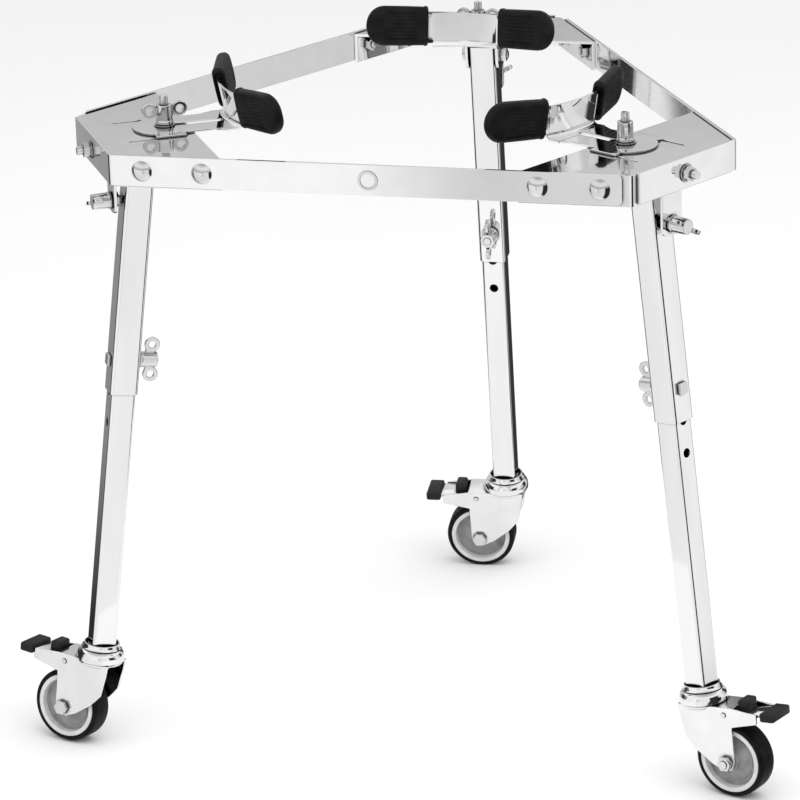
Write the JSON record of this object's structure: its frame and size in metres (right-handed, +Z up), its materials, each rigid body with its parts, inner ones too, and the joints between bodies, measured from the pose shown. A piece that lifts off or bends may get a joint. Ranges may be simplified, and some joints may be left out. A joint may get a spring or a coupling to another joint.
{
  "type": "conga drum stand",
  "caption": "Chromed triangular stand for a conga drum: splayed height-adjustable folding legs on braked casters, and sliding rubber-capped cradles that hold the drum.",
  "frame": {"origin": "on the floor, straight below the middle of the triangular frame", "axes": "+Z up; +Y towards the corner called back; +X along the front bar towards the corner called right"},
  "size_m": [0.7907, 0.624, 0.6831],
  "materials": {
    "chrome_sheet": "polished chrome on bent flat bar and pressed sheet",
    "chrome_tube": "polished chrome on square tube",
    "chrome_fastener": "bright plating",
    "chrome_caster": "bright plating on pressings",
    "cap_rubber": "ribbed moulded rubber, satin",
    "tyre_rubber": "smooth moulded tread, satin",
    "hub_plastic": "moulded grey plastic",
    "pedal_plastic": "moulded black plastic"
  },
  "bodies": {
    "frame": {"frame_bar_right": "chrome_sheet", "frame_bar_back": "chrome_sheet", "frame_bar_left": "chrome_sheet", "corner_plate_right": "chrome_sheet", "corner_plate_back": "chrome_sheet", "corner_plate_left": "chrome_sheet", "leg_bracket_right": "chrome_sheet", "leg_bracket_back": "chrome_sheet", "leg_bracket_left": "chrome_sheet", "frame_bolts": "chrome_fastener", "hex_nuts": "chrome_fastener", "corner_bolts": "chrome_fastener", "pivot_bolts": "chrome_fastener", "flat_washers": "chrome_fastener", "cradle_studs": "chrome_fastener", "lock_nuts": "chrome_fastener", "badge_ring": "chrome_fastener"},
    "leg_right": {"leg_sleeve_right": "chrome_tube", "clamp_screw_right": "chrome_fastener"},
    "foot_right": {"inner_tube_right": "chrome_tube", "caster_cup_right": "chrome_caster"},
    "clamp_right": {"clamp_nut_right": "chrome_fastener"},
    "lock_right": {"lock_screw_right": "chrome_fastener"},
    "cradle_right": {"cradle_right": "chrome_sheet", "cradle_caps_right": "cap_rubber"},
    "nut_right": {"cradle_nut_right": "chrome_fastener"},
    "swivel_right": {"caster_fork_right": "chrome_caster", "fork_pins_right": "chrome_fastener"},
    "wheel_right": {"wheel_hub_right": "hub_plastic", "wheel_tyre_right": "tyre_rubber"},
    "brake_right": {"brake_pedal_right": "pedal_plastic"},
    "leg_back": {"leg_sleeve_back": "chrome_tube", "clamp_screw_back": "chrome_fastener"},
    "foot_back": {"inner_tube_back": "chrome_tube", "caster_cup_back": "chrome_caster"},
    "clamp_back": {"clamp_nut_back": "chrome_fastener"},
    "lock_back": {"lock_screw_back": "chrome_fastener"},
    "cradle_back": {"cradle_back": "chrome_sheet", "cradle_caps_back": "cap_rubber"},
    "nut_back": {"cradle_nut_back": "chrome_fastener"},
    "swivel_back": {"caster_fork_back": "chrome_caster", "fork_pins_back": "chrome_fastener"},
    "wheel_back": {"wheel_hub_back": "hub_plastic", "wheel_tyre_back": "tyre_rubber"},
    "brake_back": {"brake_pedal_back": "pedal_plastic"},
    "leg_left": {"leg_sleeve_left": "chrome_tube", "clamp_screw_left": "chrome_fastener"},
    "foot_left": {"inner_tube_left": "chrome_tube", "caster_cup_left": "chrome_caster"},
    "clamp_left": {"clamp_nut_left": "chrome_fastener"},
    "lock_left": {"lock_screw_left": "chrome_fastener"},
    "cradle_left": {"cradle_left": "chrome_sheet", "cradle_caps_left": "cap_rubber"},
    "nut_left": {"cradle_nut_left": "chrome_fastener"},
    "swivel_left": {"caster_fork_left": "chrome_caster", "fork_pins_left": "chrome_fastener"},
    "wheel_left": {"wheel_hub_left": "hub_plastic", "wheel_tyre_left": "tyre_rubber"},
    "brake_left": {"brake_pedal_left": "pedal_plastic"}
  },
  "joints": [
    {"name": "leg_fold_right", "type": "hinge", "parent": "frame", "child": "leg_right", "pos_m": [0.25075, -0.14477, 0.605], "axis": [0.5, 0.866, 0], "range_deg": [0, 57]},
    {"name": "leg_height_right", "type": "slide", "parent": "leg_right", "child": "foot_right", "axis": [-0.1085, 0.0627, 0.9921], "range_m": [-0.065, 0.065]},
    {"name": "clamp_turn_right", "type": "hinge", "parent": "leg_right", "child": "clamp_right", "pos_m": [0.26065, -0.15049, 0.40284], "axis": [-0.8592, 0.4961, -0.1253], "range_deg": [-180, 180]},
    {"name": "lock_turn_right", "type": "hinge", "parent": "frame", "child": "lock_right", "pos_m": [0.27366, -0.158, 0.569], "axis": [0.866, -0.5, 0], "range_deg": [-180, 180]},
    {"name": "cradle_slide_right", "type": "slide", "parent": "frame", "child": "cradle_right", "axis": [0.866, -0.5, 0], "range_m": [0, 0.024]},
    {"name": "cradle_nut_turn_right", "type": "hinge", "parent": "frame", "child": "nut_right", "pos_m": [0.2269, -0.131, 0.647], "axis": [0, 0, 1], "range_deg": [-180, 180]},
    {"name": "caster_swivel_right", "type": "hinge", "parent": "foot_right", "child": "swivel_right", "pos_m": [0.30532, -0.17628, 0.1062], "axis": [-0.1085, 0.0627, 0.9921], "continuous": true},
    {"name": "wheel_spin_right", "type": "hinge", "parent": "swivel_right", "child": "wheel_right", "pos_m": [0.34086, -0.19197, 0.0375], "axis": [0.3756, 0.9266, -0.0174], "continuous": true},
    {"name": "brake_press_right", "type": "hinge", "parent": "swivel_right", "child": "brake_right", "pos_m": [0.33738, -0.18964, 0.08636], "axis": [0.3756, 0.9266, -0.0174], "range_deg": [0, 12]},
    {"name": "leg_fold_back", "type": "hinge", "parent": "frame", "child": "leg_back", "pos_m": [0, 0.28954, 0.605], "axis": [-1, 0, 0], "range_deg": [0, 70]},
    {"name": "leg_height_back", "type": "slide", "parent": "leg_back", "child": "foot_back", "axis": [0, -0.1253, 0.9921], "range_m": [-0.065, 0.065]},
    {"name": "clamp_turn_back", "type": "hinge", "parent": "leg_back", "child": "clamp_back", "pos_m": [0, 0.30097, 0.40284], "axis": [0, -0.9921, -0.1253], "range_deg": [-180, 180]},
    {"name": "lock_turn_back", "type": "hinge", "parent": "frame", "child": "lock_back", "pos_m": [0, 0.316, 0.569], "axis": [0, 1, 0], "range_deg": [-180, 180]},
    {"name": "cradle_slide_back", "type": "slide", "parent": "frame", "child": "cradle_back", "axis": [0, 1, 0], "range_m": [0, 0.024]},
    {"name": "cradle_nut_turn_back", "type": "hinge", "parent": "frame", "child": "nut_back", "pos_m": [0, 0.262, 0.647], "axis": [0, 0, 1], "range_deg": [-180, 180]},
    {"name": "caster_swivel_back", "type": "hinge", "parent": "foot_back", "child": "swivel_back", "pos_m": [0, 0.35206, 0.11012], "axis": [0, -0.1253, 0.9921], "continuous": true},
    {"name": "wheel_spin_back", "type": "hinge", "parent": "swivel_back", "child": "wheel_back", "pos_m": [-0.02996, 0.35965, 0.0375], "axis": [0.0523, -0.9908, -0.1252], "continuous": true},
    {"name": "brake_press_back", "type": "hinge", "parent": "swivel_back", "child": "brake_back", "pos_m": [-0.03196, 0.35341, 0.0861], "axis": [0.0523, -0.9908, -0.1252], "range_deg": [0, 12]},
    {"name": "leg_fold_left", "type": "hinge", "parent": "frame", "child": "leg_left", "pos_m": [-0.25075, -0.14477, 0.605], "axis": [0.5, -0.866, 0], "range_deg": [0, 86]},
    {"name": "leg_height_left", "type": "slide", "parent": "leg_left", "child": "foot_left", "axis": [0.1085, 0.0627, 0.9921], "range_m": [-0.065, 0.065]},
    {"name": "clamp_turn_left", "type": "hinge", "parent": "leg_left", "child": "clamp_left", "pos_m": [-0.26065, -0.15049, 0.40284], "axis": [0.8592, 0.4961, -0.1253], "range_deg": [-180, 180]},
    {"name": "lock_turn_left", "type": "hinge", "parent": "frame", "child": "lock_left", "pos_m": [-0.27366, -0.158, 0.569], "axis": [-0.866, -0.5, 0], "range_deg": [-180, 180]},
    {"name": "cradle_slide_left", "type": "slide", "parent": "frame", "child": "cradle_left", "axis": [-0.866, -0.5, 0], "range_m": [0, 0.024]},
    {"name": "cradle_nut_turn_left", "type": "hinge", "parent": "frame", "child": "nut_left", "pos_m": [-0.2269, -0.131, 0.647], "axis": [0, 0, 1], "range_deg": [-180, 180]},
    {"name": "caster_swivel_left", "type": "hinge", "parent": "foot_left", "child": "swivel_left", "pos_m": [-0.30519, -0.1762, 0.10741], "axis": [0.1085, 0.0627, 0.9921], "continuous": true},
    {"name": "wheel_spin_left", "type": "hinge", "parent": "swivel_left", "child": "wheel_left", "pos_m": [-0.34151, -0.17143, 0.0375], "axis": [-0.3039, -0.9481, 0.0931], "continuous": true},
    {"name": "brake_press_left", "type": "hinge", "parent": "swivel_left", "child": "brake_left", "pos_m": [-0.33808, -0.16773, 0.08628], "axis": [-0.3039, -0.9481, 0.0931], "range_deg": [0, 12]}
  ]
}
